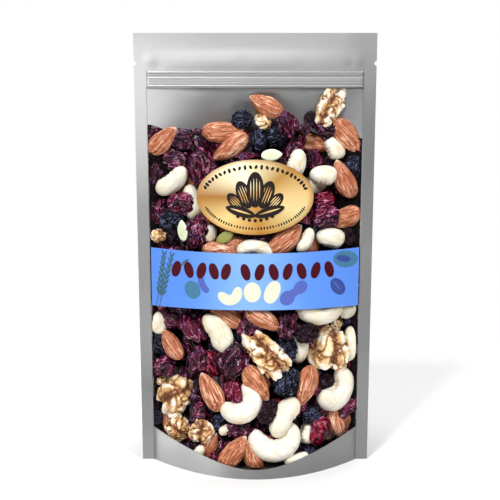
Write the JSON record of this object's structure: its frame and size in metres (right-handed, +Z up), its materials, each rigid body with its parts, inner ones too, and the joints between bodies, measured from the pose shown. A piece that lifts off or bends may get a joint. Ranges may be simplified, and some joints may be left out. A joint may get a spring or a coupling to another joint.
{
  "type": "stand-up pouch of trail mix",
  "caption": "Shut stand-up zip pouch with a clear front and silver back, filled with mixed nuts, seeds and dried fruit, with a plain oval label and a label band.",
  "frame": {"origin": "on the floor at the middle of the pouch's base", "axes": "+Z up from the base to the top seal, +Y from the clear front towards the silver back, +X to the viewer's right"},
  "size_m": [0.132, 0.066, 0.24],
  "materials": {
    "silver_film": "satin metallised film",
    "clear_film": "clear gloss film",
    "zip_plastic": "satin",
    "gold_label": "brushed gold foil",
    "blue_label": "satin print",
    "almond": "dry ribbed skin",
    "cashew": "smooth and slightly waxy",
    "walnut": "dry folded skin",
    "cranberry": "glossy wrinkled skin",
    "raisin": "wrinkled skin with a faint bloom",
    "pumpkin_seed": "smooth and dry"
  },
  "bodies": {
    "root": {"pouch": "silver_film", "zip_front": "zip_plastic", "zip_back": "zip_plastic", "oval_label": "gold_label", "band_label": "blue_label"}
  },
  "joints": []
}
